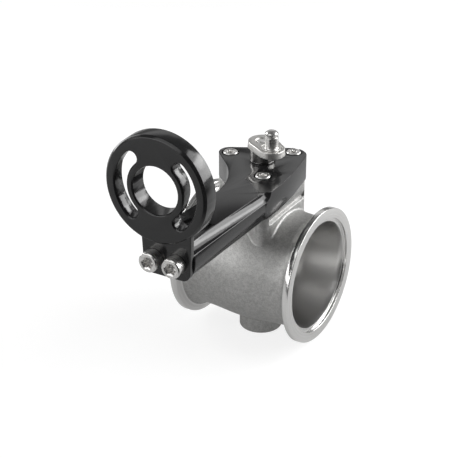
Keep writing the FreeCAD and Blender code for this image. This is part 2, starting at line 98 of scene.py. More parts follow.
def corners(node):
    """Lowest and highest corner of a CAD node as arrays."""
    low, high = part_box(node)
    return np.array(low), np.array(high)


def centre(node):
    """Middle of a CAD node's box."""
    low, high = corners(node)
    return (low + high) / 2


VALVE_X = float(centre("valve_shaft")[0])
INLET_X = float(corners("valve_housing")[1][0])
OUTLET_X = float(corners("valve_housing")[0][0])
# How far in from each end the flanges are turned, and the radius inside which a surface is bore
FLANGE_DEPTH = 0.00465
BORE_REACH = 0.0291
LEVER_TOP = float(corners("lever_arm")[1][2])
LEVER_THICKNESS = 0.0035
LEVER_UNDERSIDE = LEVER_TOP - LEVER_THICKNESS
PIN_COLLAR_RADIUS = float(corners("lever_pin")[1][0] - corners("lever_pin")[0][0]) / 2
PIN_RADIUS = 0.00345
PIN_TAIL_RADIUS = 0.0036
PIN_GROOVE_BELOW_TIP = 0.0032


class WastegateSizes(bpy.types.PropertyGroup):
    """Fine sizes that the finish adds to the pieces."""
    machined_edge: FloatProperty(
        name="Machined edge", description="Width of the broken edge on machined pieces",
        default=0.00022, unit="LENGTH", precision=5)
    cast_edge: FloatProperty(
        name="Cast edge", description="Width of the rounded edge on the housing and the lever",
        default=0.0003, unit="LENGTH", precision=5)
    bracket_edge: FloatProperty(
        name="Bracket edge", description="Width of the broken edge on the bracket",
        default=0.00012, unit="LENGTH", precision=5)
    sharp_angle: FloatProperty(
        name="Sharp angle", description="Edges that turn more than this are broken",
        default=math.radians(28), unit="ROTATION")
    turned_steps: IntProperty(
        name="Turned steps", description="Facets round a turned piece", default=96, min=24)
    thread_pitch_share: FloatProperty(
        name="Thread pitch", description="Pitch of a screw's thread as a share of its radius",
        default=0.34)
    thread_depth_share: FloatProperty(
        name="Thread depth", description="Depth of a screw's thread as a share of its pitch",
        default=0.55)


class WastegateColours(bpy.types.PropertyGroup):
    """Colours of the finishes."""
    cast: FloatVectorProperty(
        name="Cast", description="Blasted stainless casting", subtype="COLOR",
        default=(0.46, 0.458, 0.45))
    machined: FloatVectorProperty(
        name="Machined", description="Turned stainless faces", subtype="COLOR",
        default=(0.76, 0.755, 0.745))
    lever: FloatVectorProperty(
        name="Lever", description="Fine cast lever", subtype="COLOR", default=(0.72, 0.71, 0.69))
    screw: FloatVectorProperty(
        name="Screw", description="Bright screw steel", subtype="COLOR", default=(0.78, 0.77, 0.755))
    black: FloatVectorProperty(
        name="Black", description="Black anodised aluminium", subtype="COLOR",
        default=(0.012, 0.012, 0.0125))
    bronze: FloatVectorProperty(
        name="Bronze", description="Bushes", subtype="COLOR", default=(0.55, 0.4, 0.23))
    graphite: FloatVectorProperty(
        name="Graphite", description="Gland seal", subtype="COLOR", default=(0.05, 0.05, 0.052))
    copper: FloatVectorProperty(
        name="Copper", description="Plug seal", subtype="COLOR", default=(0.7, 0.38, 0.26))


class WastegateStudio(bpy.types.PropertyGroup):
    """Camera and lights."""
    azimuth: FloatProperty(
        name="Azimuth", description="Turn of the view about Z, from looking along +Y",
        default=math.radians(30.221), unit="ROTATION")
    elevation: FloatProperty(
        name="Elevation", description="Height of the view over the horizon",
        default=math.radians(27.616), unit="ROTATION")
    distance: FloatProperty(
        name="Distance", description="From the camera to the plane of the valve centre",
        default=0.9, unit="LENGTH")
    aim_right: FloatProperty(
        name="Aim right", description="Aim beside the valve centre", default=-0.017038, unit="LENGTH")
    aim_up: FloatProperty(
        name="Aim up", description="Aim over the valve centre", default=0.015947, unit="LENGTH")
    lens: FloatProperty(
        name="Lens", description="Focal length in millimetres on a 36 mm sensor", default=134.41)
    floor_white: FloatProperty(
        name="Floor white", description="Share of the floor's white that no shadow takes away",
        default=0.78, min=0, max=1)
    # Strength of the floor's painted glow and painted shade, seen only in reflections
    floor_shine: FloatProperty(
        name="Floor shine", description="Glow of the floor in reflections", default=0.22)
    room_left: FloatProperty(
        name="Room on the left", description="Light of the room's left side", default=0.9)
    room_right: FloatProperty(
        name="Room on the right", description="Light of the room's right side", default=0.12)
    room_top: FloatProperty(
        name="Room overhead", description="Light of the room's ceiling", default=0.35)


class Board:
    """A node tree with short calls that add and join its nodes."""

    def __init__(self, tree):
        self.tree = tree

    def add(self, kind, **settings):
        """New node with its settings."""
        node = self.tree.nodes.new(kind)
        for name, value in settings.items():
            setattr(node, name, value)
        return node

    def feed(self, socket, value):
        """Join an output to an input, or set the input's plain value."""
        if isinstance(value, bpy.types.NodeSocket):
            self.tree.links.new(value, socket)
        else:
            socket.default_value = value

    def math(self, operation, a, b=0.0):
        """Result of a Math node."""
        node = self.add("ShaderNodeMath", operation=operation)
        self.feed(node.inputs[0], a)
        self.feed(node.inputs[1], b)
        return node.outputs[0]

    def ramp(self, value, low, high, to_low=0.0, to_high=1.0, smooth=True):
        """Value carried from one range to another and kept inside it."""
        node = self.add("ShaderNodeMapRange", interpolation_type="SMOOTHSTEP" if smooth else "LINEAR")
        for socket, number in zip(node.inputs[:5], (value, low, high, to_low, to_high)):
            self.feed(socket, number)
        return node.outputs[0]

    def noise(self, vector, scale, detail=2.0, roughness=0.5):
        """Noise value at a place."""
        node = self.add("ShaderNodeTexNoise")
        self.feed(node.inputs["Vector"], vector)
        self.feed(node.inputs["Scale"], scale)
        self.feed(node.inputs["Detail"], detail)
        self.feed(node.inputs["Roughness"], roughness)
        return node.outputs["Fac"]

    def mix(self, factor, a, b):
        """Value between two others."""
        node = self.add("ShaderNodeMix", data_type="FLOAT")
        self.feed(node.inputs[0], factor)
        self.feed(node.inputs[2], a)
        self.feed(node.inputs[3], b)
        return node.outputs[0]

    def mix_colour(self, factor, a, b):
        """Colour between two others."""
        node = self.add("ShaderNodeMix", data_type="RGBA")
        self.feed(node.inputs[0], factor)
        self.feed(node.inputs[6], a)
        self.feed(node.inputs[7], b)
        return node.outputs[2]

    def parts(self, vector):
        """X, Y and Z of a vector."""
        node = self.add("ShaderNodeSeparateXYZ")
        self.feed(node.inputs[0], vector)
        return node.outputs[0], node.outputs[1], node.outputs[2]

    def join(self, x, y, z):
        """Vector from three values."""
        node = self.add("ShaderNodeCombineXYZ")
        for socket, value in zip(node.inputs, (x, y, z)):
            self.feed(socket, value)
        return node.outputs[0]

    def group(self, name, **values):
        """One of the shared groups, with its inputs."""
        node = self.add("ShaderNodeGroup", node_tree=shared_group(name))
        for key, value in values.items():
            self.feed(node.inputs[key], value)
        return node.outputs


def new_group(name, inputs, outputs):
    """Empty node group with float sockets, a vector for each name that begins with Place."""
    tree = bpy.data.node_groups.new(name, "ShaderNodeTree")
    for direction, names in (("INPUT", inputs), ("OUTPUT", outputs)):
        for socket in names:
            kind = "NodeSocketVector" if socket.startswith("Place") else "NodeSocketFloat"
            tree.interface.new_socket(socket, in_out=direction, socket_type=kind)
    board = Board(tree)
    return board, board.add("NodeGroupInput").outputs, board.add("NodeGroupOutput").inputs


def build_cast_grain():
    """Grain of a blasted casting: fine pits on slow waves, and a slow change of tone."""
    board, given, made = new_group("cast_grain", ["Place", "Grain Size"], ["Height", "Tone", "Wear"])
    scale = board.math("DIVIDE", 1.0, given["Grain Size"])
    fine = board.noise(given["Place"], scale, detail=3.0, roughness=0.6)
    slow = board.noise(given["Place"], board.math("MULTIPLY", scale, 0.3))
    broad = board.noise(given["Place"], board.math("MULTIPLY", scale, 0.03))
    board.feed(made["Height"], board.math("ADD", fine, board.math("MULTIPLY", slow, 0.4)))
    board.feed(made["Tone"], board.ramp(board.math("ADD", fine, board.math("MULTIPLY", slow, 0.5)),
                                        0.55, 0.95))
    board.feed(made["Wear"], board.ramp(broad, 0.35, 0.7))
    return board.tree


# How far tool lines drift outwards for each radian round the axis
LINE_DRIFT = 0.00003


def build_turned_lines():
    """Tool lines of a turned surface about X: noise that changes with the radius and along the axis,
    drawn out round the axis with a slight drift, and a slow change of tone."""
    board, given, made = new_group("turned_lines", ["Place", "Line Width"],
                                   ["Height", "Tone", "Radius", "Along"])
    x, y, z = board.parts(given["Place"])
    across = board.math("ADD", board.math("MULTIPLY", y, y), board.math("MULTIPLY", z, z))
    radius = board.math("SQRT", across)
    scale = board.math("DIVIDE", 1.0, given["Line Width"])
    drift = board.math("MULTIPLY", board.math("ARCTAN2", y, z), LINE_DRIFT)
    place = board.join(board.math("ADD", radius, drift), x, 0.0)
    fine = board.noise(place, scale, detail=3.0, roughness=0.65)
    coarse = board.noise(place, board.math("MULTIPLY", scale, 0.16))
    board.feed(made["Height"], board.math("ADD", fine, board.math("MULTIPLY", coarse, 0.6)))
    board.feed(made["Tone"], board.ramp(coarse, 0.3, 0.7))
    board.feed(made["Radius"], radius)
    board.feed(made["Along"], x)
    return board.tree


def build_fine_scratches():
    """Short fine scratches: noise stretched along one direction, with handling marks."""
    board, given, made = new_group("fine_scratches", ["Place", "Scratch Width"],
                                   ["Height", "Tone", "Smudge"])
    scale = board.math("DIVIDE", 1.0, given["Scratch Width"])
    x, y, z = board.parts(given["Place"])
    drawn = board.join(x, board.math("MULTIPLY", y, 0.06), z)
    fine = board.noise(drawn, scale, detail=3.0, roughness=0.6)
    smudge = board.noise(given["Place"], board.math("MULTIPLY", scale, 0.012), detail=3.0)
    board.feed(made["Height"], fine)
    board.feed(made["Tone"], board.ramp(fine, 0.35, 0.65))
    board.feed(made["Smudge"], board.ramp(smudge, 0.35, 0.68))
    return board.tree


GROUPS = {"cast_grain": build_cast_grain, "turned_lines": build_turned_lines,
          "fine_scratches": build_fine_scratches}


def shared_group(name):
    """A shared node group, built at its first use."""
    return bpy.data.node_groups.get(name) or GROUPS[name]()


# Turns that bring a piece's axis to lie along X: from upright, from along X and from along Y
UPRIGHT = (0.0, math.radians(90), 0.0)
ALONG_X = (0.0, 0.0, 0.0)
ALONG_Y = (0.0, 0.0, math.radians(90))
# Lowest and highest roughness of each finish
CAST_ROUGHNESS = (0.52, 0.57)
FLANGE_ROUGHNESS = (0.15, 0.21)
BORE_ROUGHNESS = 0.29
BLACK_ROUGHNESS = (0.12, 0.18)
LEVER_ROUGHNESS = (0.34, 0.42)
HUB_ROUGHNESS = 0.2
TURNED_ROUGHNESS = (0.16, 0.26)
PIN_ROUGHNESS = (0.24, 0.32)
SCREW_ROUGHNESS = (0.26, 0.34)
BRONZE_ROUGHNESS = (0.3, 0.42)
COPPER_ROUGHNESS = (0.3, 0.4)
GRAPHITE_ROUGHNESS = (0.55, 0.7)
GASKET_ROUGHNESS = (0.3, 0.42)


def blank_material(name):
    """Material with a Principled shader, its board, and Object coordinates."""
    material = bpy.data.materials.new(name)
    material.use_nodes = True
    board = Board(material.node_tree)
    shader = material.node_tree.nodes["Principled BSDF"]
    return material, board, shader, board.add("ShaderNodeTexCoord").outputs["Object"]


def centred(board, place, origin, turn):
    """Place measured from an origin and turned, so that a piece's axis lies along X."""
    node = board.add("ShaderNodeMapping", vector_type="TEXTURE")
    board.feed(node.inputs["Vector"], place)
    node.inputs["Location"].default_value = origin
    node.inputs["Rotation"].default_value = turn
    return node.outputs[0]


def bumped(board, shader, height, strength, distance):
    """Bump under a shader's normal."""
    node = board.add("ShaderNodeBump")
    node.inputs["Strength"].default_value = strength
    node.inputs["Distance"].default_value = distance
    board.feed(node.inputs["Height"], height)
    board.feed(shader.inputs["Normal"], node.outputs[0])


def solid_colour(colour):
    """RGBA of a colour property."""
    return (*colour, 1.0)


def darker(colour, share):
    """RGBA of a colour property, darkened."""
    return (*[share * part for part in colour], 1.0)


def housing_material(colours):
    """Blasted casting outside, and turned steel on the flanges and in the bore, where the steel's colour is
    darkened as painted shade.
    """
    material, board, shader, place = blank_material("cast_stainless_finish")
    grain = board.group("cast_grain", Place=place, **{"Grain Size": 0.0006})
    lines = board.group("turned_lines", Place=place, **{"Line Width": 0.00022})
    half = (INLET_X - OUTLET_X) / 2
    from_middle = board.math("ABSOLUTE", board.math("SUBTRACT", lines["Along"], INLET_X - half))
    at_flange = board.math("GREATER_THAN", from_middle, half - FLANGE_DEPTH)
    in_bore = board.math("LESS_THAN", lines["Radius"], BORE_REACH)
    machined = board.math("MAXIMUM", at_flange, in_bore)
    cast = board.mix_colour(grain["Tone"], darker(colours.cast, 0.8), darker(colours.cast, 1.12))
    turned = board.mix_colour(lines["Tone"], darker(colours.machined, 0.88), solid_colour(colours.machined))
    # Inside the bore the turned steel is painted at 0.7 of the machined colour: painted shade in the recess
    # of the bore
    turned = board.mix_colour(in_bore, turned, darker(colours.machined, 0.7))
    board.feed(shader.inputs["Base Color"], board.mix_colour(machined, cast, turned))
    shader.inputs["Metallic"].default_value = 1.0
    rough_cast = board.ramp(grain["Wear"], 0, 1, *CAST_ROUGHNESS)
    rough_turned = board.mix(in_bore, board.ramp(lines["Tone"], 0, 1, *FLANGE_ROUGHNESS), BORE_ROUGHNESS)
    board.feed(shader.inputs["Roughness"], board.mix(machined, rough_cast, rough_turned))
    tooled = board.math("MULTIPLY", lines["Height"], board.mix(in_bore, 0.06, 0.04))
    bumped(board, shader, board.mix(machined, grain["Height"], tooled), strength=0.6, distance=0.00012)
    return material


def anodised_material(colours):
    """Smooth machined aluminium under a glossy black skin."""
    material, board, shader, place = blank_material("black_anodised_finish")
    marks = board.group("fine_scratches", Place=place, **{"Scratch Width": 0.0003})
    board.feed(shader.inputs["Base Color"], board.mix_colour(
        marks["Tone"], darker(colours.black, 0.85), darker(colours.black, 1.2)))
    board.feed(shader.inputs["Roughness"], board.ramp(marks["Smudge"], 0, 1, *BLACK_ROUGHNESS))
    shader.inputs["IOR"].default_value = 1.5
    bumped(board, shader, marks["Height"], strength=0.12, distance=0.00004)
    return material


def turned_material(name, colour, origin, turn, roughness=TURNED_ROUGHNESS, strength=0.2, metallic=1.0):
    """Turned surface whose tool lines run round a piece's own axis."""
    material, board, shader, place = blank_material(name)
    lines = board.group("turned_lines", Place=centred(board, place, origin, turn), **{"Line Width": 0.0002})
    board.feed(shader.inputs["Base Color"], board.mix_colour(
        lines["Tone"], darker(colour, 0.84), solid_colour(colour)))
    shader.inputs["Metallic"].default_value = metallic
    board.feed(shader.inputs["Roughness"], board.ramp(lines["Tone"], 0, 1, *roughness))
    bumped(board, shader, lines["Height"], strength, distance=0.00004)
    return material


def lever_material(colours):
    """Fine cast steel with a soft sheen, and a turned and polished hub under the plate."""
    material, board, shader, place = blank_material("cast_lever_finish")
    grain = board.group("cast_grain", Place=place, **{"Grain Size": 0.0005})
    lines = board.group("turned_lines", Place=centred(board, place, tuple(centre("valve_shaft")), UPRIGHT),
                        **{"Line Width": 0.00025})
    height = board.parts(place)[2]
    hub = board.math("LESS_THAN", height, LEVER_UNDERSIDE)
    board.feed(shader.inputs["Base Color"], board.mix_colour(
        grain["Tone"], darker(colours.lever, 0.86), darker(colours.lever, 1.06)))
    shader.inputs["Metallic"].default_value = 1.0
    rough = board.ramp(grain["Wear"], 0, 1, *LEVER_ROUGHNESS)
    board.feed(shader.inputs["Roughness"], board.mix(hub, rough, HUB_ROUGHNESS))
    relief = board.mix(hub, board.math("MULTIPLY", grain["Height"], 0.3), lines["Height"])
    bumped(board, shader, relief, strength=0.7, distance=0.00008)
    return material


def smooth_object(name, mesh):
    """Object of a mesh, shaded smooth and linked to the scene."""
    mesh.polygons.foreach_set("use_smooth", np.ones(len(mesh.polygons), dtype=bool))
    piece = bpy.data.objects.new(name, mesh)
    bpy.context.scene.collection.objects.link(piece)
    return piece


def dressed_copy(name, node, edge, sharp_angle):
    """Copy of a CAD node with its doubles merged and its flat triangles joined, whose sharp edges
    are broken by a narrow round."""
    work = bmesh.new()
    work.from_mesh(frame["nodes"][node].data)
    bmesh.ops.remove_doubles(work, verts=work.verts, dist=WELD)
    bmesh.ops.dissolve_limit(work, angle_limit=FLAT_ANGLE, verts=work.verts, edges=work.edges)
    mesh = bpy.data.meshes.new(name)
    work.to_mesh(mesh)
    work.free()
    piece = smooth_object(name, mesh)
    bevel = piece.modifiers.new("Broken edges", "BEVEL")
    bevel.width = edge
    bevel.segments = 3
    bevel.limit_method = "ANGLE"
    bevel.angle_limit = sharp_angle
    bevel.harden_normals = True
    bevel.use_clamp_overlap = False
    return piece


def grid_piece(name, points):
    """Piece from a grid of points (rows, columns, 3): rows run along a profile and columns round the
    piece. A row that lies in one point is welded into a pole."""
    rows, columns = points.shape[:2]
    here = np.arange(rows * columns).reshape(rows, columns)
    ahead = np.roll(here, -1, axis=1)
    faces = np.stack([here[:-1], ahead[:-1], ahead[1:], here[1:]], axis=-1).reshape(-1, 4)
    mesh = bpy.data.meshes.new(name)
    mesh.from_pydata(points.reshape(-1, 3), [], faces)
    work = bmesh.new()
    work.from_mesh(mesh)
    bmesh.ops.remove_doubles(work, verts=work.verts, dist=WELD)
    bmesh.ops.recalc_face_normals(work, faces=work.faces)
    work.to_mesh(mesh)
    work.free()
    return smooth_object(name, mesh)


def rounded(profile, radii, steps=5):
    """Profile of (radius, height) corners, each of which is replaced by a curve from the point one
    radius before it to the point one radius after it: weights (1-t)^2, 2t(1-t) and t^2."""
    points = [np.asarray(profile[0])]
    t = np.linspace(0, 1, steps + 1)[:, None]
    for before, corner, after, radius in zip(profile, profile[1:], profile[2:], radii):
        before, corner, after = (np.asarray(p, dtype=float) for p in (before, corner, after))
        to_before, to_after = before - corner, after - corner
        start = corner + to_before / np.linalg.norm(to_before) * radius
        end = corner + to_after / np.linalg.norm(to_after) * radius
        points.extend((1 - t) ** 2 * start + 2 * t * (1 - t) * corner + t ** 2 * end)
    points.append(np.asarray(profile[-1]))
    return np.array(points)


def turned_points(profile, steps):
    """Grid of a turned shape about Z: each profile point (radius, height) goes round as
    (radius cos a, radius sin a, height)."""
    angle = np.linspace(0, 2 * math.pi, steps, endpoint=False)
    radius, height = profile[:, 0, None], profile[:, 1, None]
    return np.stack([radius * np.cos(angle), radius * np.sin(angle), height + 0 * angle], axis=-1)


def stood(points, axis, origin):
    """Points drawn about Z, turned so that Z lies along an axis and moved to an origin."""
    turn = np.array(Vector((0, 0, 1)).rotation_difference(Vector(axis)).to_matrix())
    return points @ turn.T + np.asarray(origin)


def socket_points(socket, height, angle):
    """Grid of a six-lobed socket from the middle of its floor to the broken edge at its mouth. Round
    the axis its wall stands at socket (0.86 + 0.14 cos 6a)."""
    wall = socket * (0.86 + 0.14 * np.cos(6 * angle))
    floor = 0.42 * height
    rows = np.array([(0.0, floor), (0.6, floor), (0.97, floor), (1.0, floor + 0.04 * height),
                     (1.0, 0.84 * height), (1.06, 0.91 * height)])
    share, z = rows[:, 0, None], rows[:, 1, None]
    return np.stack([share * wall * np.cos(angle), share * wall * np.sin(angle), z + 0 * angle], axis=-1)


def head_points(head, height, shank, socket, dome, steps):
    """Grid of a screw's head, from the socket's mouth over the crown and down to the shank."""
    crown = 0.5 * (1.2 * socket + head - dome)
    outline = [(1.16 * socket, 0.98 * height), (crown, height), (head - dome, height),
               (head, height - dome), (head, 0.0), (shank, 0.0), (shank, -0.12 * height)]
    radii = [0.02 * head, 0.3 * dome, 0.3 * dome, 0.05 * head, 0.1 * shank]
    return turned_points(rounded(outline, radii), steps)


def thread_points(shank, top, end, pitch, depth, angle):
    """Grid of a thread between two heights: the radius falls by a triangle wave of z / pitch - a / turn,
    which eases in and out over one pitch at the ends."""
    z = np.arange(top, end, -pitch / 8)[:, None]
    wave = np.abs(((z / pitch - angle / (2 * math.pi)) % 1.0) * 2 - 1)
    ease = np.clip((top - z) / pitch, 0, 1) * np.clip((z - end) / pitch, 0, 1)
    radius = shank - depth * wave * ease
    return np.stack([radius * np.cos(angle), radius * np.sin(angle), z + 0 * angle], axis=-1)


def screw_points(head, height, length, shank, socket, dome, sizes):
    """Grid of a screw that stands on its seat at z = 0, from its socket to its tip."""
    steps = sizes.turned_steps
    angle = np.linspace(0, 2 * math.pi, steps, endpoint=False)
    pitch = sizes.thread_pitch_share * shank
    depth = sizes.thread_depth_share * pitch
    tip = np.array([(shank, -length + 0.35 * pitch), (shank - 0.4 * pitch, -length), (0.0, -length)])
    return np.concatenate([
        socket_points(socket, height, angle), head_points(head, height, shank, socket, dome, steps),
        thread_points(shank, -0.2 * height, -length + 0.5 * pitch, pitch, depth, angle),
        turned_points(tip, steps)])


def finish_piece(piece, material, body, *nodes):
    """Material, body and replaced nodes of a new piece."""
    piece.data.materials.clear()
    piece.data.materials.append(material)
    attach(piece, body)
    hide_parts(*nodes)


def repaint(node, material):
    """Better material on a CAD node that keeps its shape."""
    for slot in frame["nodes"][node].material_slots:
        slot.material = material


class WASTEGATE_OT_housing(bpy.types.Operator):
    """Cast housing with turned flanges and bore"""
    bl_idname = "wastegate.housing"
    bl_label = "Housing"

    def execute(self, context):
        sizes = context.scene.wastegate_sizes
        piece = dressed_copy("housing_casting", "valve_housing", sizes.cast_edge, sizes.sharp_angle)
        finish_piece(piece, housing_material(context.scene.wastegate_colours), "housing", "valve_housing")
        return {"FINISHED"}


class WASTEGATE_OT_bracket(bpy.types.Operator):
    """Black bracket with its arm, and the ring with its foot"""
    bl_idname = "wastegate.bracket"
    bl_label = "Bracket and ring"

    def execute(self, context):
        sizes = context.scene.wastegate_sizes
        black = anodised_material(context.scene.wastegate_colours)
        for name, node, edge in (("bracket_plate", "actuator_bracket", sizes.bracket_edge),
                                 ("mount_ring", "actuator_mount_ring", sizes.machined_edge)):
            piece = dressed_copy(name, node, edge, sizes.sharp_angle)
            finish_piece(piece, black, "housing", node)
        return {"FINISHED"}


class WASTEGATE_OT_lever(bpy.types.Operator):
    """Cast lever on the shaft"""
    bl_idname = "wastegate.lever"
    bl_label = "Lever"

    def execute(self, context):
        sizes = context.scene.wastegate_sizes
        piece = dressed_copy("lever", "lever_arm", sizes.cast_edge, sizes.sharp_angle)
        finish_piece(piece, lever_material(context.scene.wastegate_colours), "shaft_group", "lever_arm")
        return {"FINISHED"}


class WASTEGATE_OT_pin(bpy.types.Operator):
    """Satin pin with its collar, clip groove and domed tip"""
    bl_idname = "wastegate.pin"
    bl_label = "Pin"

    def execute(self, context):
        sizes = context.scene.wastegate_sizes
        low, high = corners("lever_pin")
        origin = np.array([*centre("lever_pin")[:2], LEVER_TOP])
        points = turned_points(self.profile(high[2] - LEVER_TOP, low[2] - LEVER_TOP), sizes.turned_steps)
        piece = grid_piece("lever_pin_turned", points + origin)
        material = turned_material("lever_pin_finish", context.scene.wastegate_colours.screw,
                                   tuple(origin), UPRIGHT, PIN_ROUGHNESS, strength=0.3)
        finish_piece(piece, material, "shaft_group", "lever_pin")
        return {"FINISHED"}

    def profile(self, top, tail):
        """Rounded outline over and under the lever's top face, from the domed tip to the tail's end."""
        shank, collar = PIN_RADIUS, PIN_COLLAR_RADIUS
        groove = top - PIN_GROOVE_BELOW_TIP
        unit = MILLIMETRE
        turning_points = (
            ((0.3 * shank, top), 0.5), ((0.9 * shank, top - 0.9 * unit), 1.1),
            ((1.03 * shank, top - 2.1 * unit), 0.7), ((0.93 * shank, groove + 0.4 * unit), 0.08),
            ((0.86 * shank, groove + 0.3 * unit), 0.05), ((0.86 * shank, groove - 0.3 * unit), 0.05),
            ((shank, groove - 0.4 * unit), 0.08), ((shank, 0.5 * unit), 0.3),
            ((1.12 * shank, 0.25 * unit), 0.1), ((collar, 0.2 * unit), 0.15),
            ((collar, -0.68 * unit), 0.05), ((shank, -0.68 * unit), 0.02),
            ((shank, -LEVER_THICKNESS), 0.02), ((PIN_TAIL_RADIUS, -LEVER_THICKNESS), 0.05),
            ((PIN_TAIL_RADIUS, tail), 0.2))
        outline = [(0.0, top), *[corner for corner, _ in turning_points], (0.0, tail)]
        return rounded(outline, [radius * unit for _, radius in turning_points])


class WASTEGATE_OT_turned(bpy.types.Operator):
    """Washer, shaft, plug and plate"""
    bl_idname = "wastegate.turned"
    bl_label = "Turned pieces"

    def execute(self, context):
        colours = context.scene.wastegate_colours
        sizes = context.scene.wastegate_sizes
        # The lever washer gets the machined colour at a quarter of its value: painted shade for the washer
        # in the lever's shadow
        bright, dark = colours.machined, darker(colours.machined, 0.25)[:3]
        for node, turn, colour in (("valve_shaft", UPRIGHT, bright), ("lever_washer", UPRIGHT, dark),
                                   ("boss_plug", UPRIGHT, bright), ("butterfly_plate", ALONG_X, bright)):
            material = turned_material(node + "_finish", colour, tuple(centre(node)), turn)
            piece = dressed_copy(node + "_turned", node, sizes.machined_edge, sizes.sharp_angle)
            body = frame["nodes"][node]["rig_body"]
            finish_piece(piece, material, body, node)
        return {"FINISHED"}


class WASTEGATE_OT_seals(bpy.types.Operator):
    """Bushes, seals and gasket"""
    bl_idname = "wastegate.seals"
    bl_label = "Bushes and seals"

    def execute(self, context):
        colours = context.scene.wastegate_colours
        origin = tuple(centre("valve_shaft"))
        bronze = turned_material("bronze_finish", colours.bronze, origin, UPRIGHT, BRONZE_ROUGHNESS)
        graphite = turned_material("graphite_finish", colours.graphite, origin, UPRIGHT,
                                   GRAPHITE_ROUGHNESS, metallic=0.0)
        copper = turned_material("copper_finish", colours.copper, origin, UPRIGHT, COPPER_ROUGHNESS)
        gasket = turned_material("gasket_finish", colours.machined, origin, UPRIGHT, GASKET_ROUGHNESS)
        for node in ("upper_bush", "lower_bush", "bracket_bush"):
            repaint(node, bronze)
        repaint("gland_seal", graphite)
        repaint("plug_seal", copper)
        repaint("pad_gasket", gasket)
        return {"FINISHED"}


# Kind, places, way that the head faces, turn of its tool lines, and in millimetres: the head's radius
# and height, the length under the head, the shank's radius, the socket's radius and the crown's round
SCREW_KINDS = (
    ("bracket_screw", ("left", "back", "front"), (0, 0, 1), UPRIGHT, (3.8, 2.8, 22.0, 2.0, 1.9, 0.4)),
    ("ring_screw", ("left", "right"), (0, -1, 0), ALONG_Y, (5.0, 6.0, 18.0, 3.0, 2.75, 0.5)),
    ("plate_screw", ("upper", "lower"), (1, 0, 0), ALONG_X, (2.75, 1.6, 8.6, 1.5, 1.2, 0.3)),
)


class WASTEGATE_OT_screws(bpy.types.Operator):
    """Screws of the bracket, the ring and the plate"""
    bl_idname = "wastegate.screws"
    bl_label = "Screws"

    def execute(self, context):
        sizes = context.scene.wastegate_sizes
        colours = context.scene.wastegate_colours
        for kind, places, axis, turn, millimetres in SCREW_KINDS:
            head, height, length, shank, socket, dome = (MILLIMETRE * size for size in millimetres)
            points = screw_points(head, height, length, shank, socket, dome, sizes)
            for place in places:
                node = kind + "_" + place
                low, high = corners(node)
                line = np.array(axis, dtype=float)
                seat = np.where(line > 0, high, low) - line * height
                origin = np.where(line != 0, seat, centre(node))
                piece = grid_piece(node + "_threaded", stood(points, axis, origin))
                material = turned_material(node + "_finish", colours.screw, tuple(origin), turn,
                                           SCREW_ROUGHNESS, strength=0.1)
                finish_piece(piece, material, frame["nodes"][node]["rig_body"], node)
        return {"FINISHED"}


def softbox(name, middle, direction, distance, size, radiance):
    """Soft light that faces a middle from a distance, with the same radiance all over its face."""
    data = bpy.data.lights.new(name, "AREA")
    data.shape = "RECTANGLE"
    data.size, data.size_y = size
    data.energy = math.pi * size[0] * size[1] * radiance
    light = bpy.data.objects.new(name, data)
    bpy.context.scene.collection.objects.link(light)
    line = Vector(direction).normalized()
    light.location = middle + distance * line
    light.rotation_euler = line.to_track_quat("Z", "Y").to_euler()


def view_axes(studio):
    """Right, up and back of the camera."""
    a, e = studio.azimuth, studio.elevation
    back = Vector((math.sin(a) * math.cos(e), -math.cos(a) * math.cos(e), math.sin(e)))
    right = Vector((math.cos(a), math.sin(a), 0))
    return right, back.cross(right), back


# Name, way from the valve's middle to the light, its distance, width and height, and radiance
SOFTBOXES = (
    ("front_softbox", (-0.1, -0.66, 0.75), 0.8, (0.5, 0.4), 1.2),
    ("front_left_softbox", (-0.44, -0.83, 0.34), 0.8, (0.6, 0.36), 2.4),
    ("back_right_softbox", (0.77, 0.5, 0.4), 0.8, (0.96, 0.46), 5.5),
    ("left_softbox", (-0.93, 0.03, 0.36), 0.83, (0.22, 0.6), 6.0),
)
# The same for the light on the arm, from a middle near the arm
ARM_SOFTBOX = ("arm_softbox", (0.46, 0.68, 0.58), 0.45, (0.18, 0.2), 3.3)
ARM_MIDDLE = Vector((VALVE_X + 0.02, -0.07, 0.05))
FLOOR_RADIUS = 3.0
# Tone of the floor for every ray but the camera's, and for the camera's
OTHER_TONE, CAMERA_TONE = 0.45, 0.3
# Middle of the floor's painted glow, a patch of painted light seen only in reflections, the radii between
# which it fades, and its gain
PATCH_X, PATCH_Y = 0.75, 1.45
PATCH_FADE = (0.45, 0.95)
PATCH_GAIN = 2.8
# Way to the front right, the distances between which the floor's painted shade in reflections dims it that
# way, and what is left
FRONT_RIGHT_X, FRONT_RIGHT_Y = 0.86, -0.5
DIM_FADE = (0.1, 0.24)
DIM_SHARE = 0.08
# Places on the way from left to right between which the room's light changes, and heights between
# which the ceiling takes over, as parts of a unit direction
SIDE_FADE = (-0.25, 0.35)
CEILING_FADE = (0.5, 0.8)
# Height of a direction, where 0 is the horizon and 1 is overhead, and the share of the light there
ROOM_PANELS = (
    (0.0, 0.25), (0.17, 0.25), (0.33, 1.0), (0.5, 1.0), (0.57, 0.4), (0.68, 0.4), (0.72, 0.6),
    (0.79, 0.6), (0.83, 0.2), (0.87, 0.2), (0.885, 1.3), (0.92, 1.3), (0.94, 0.3),
)


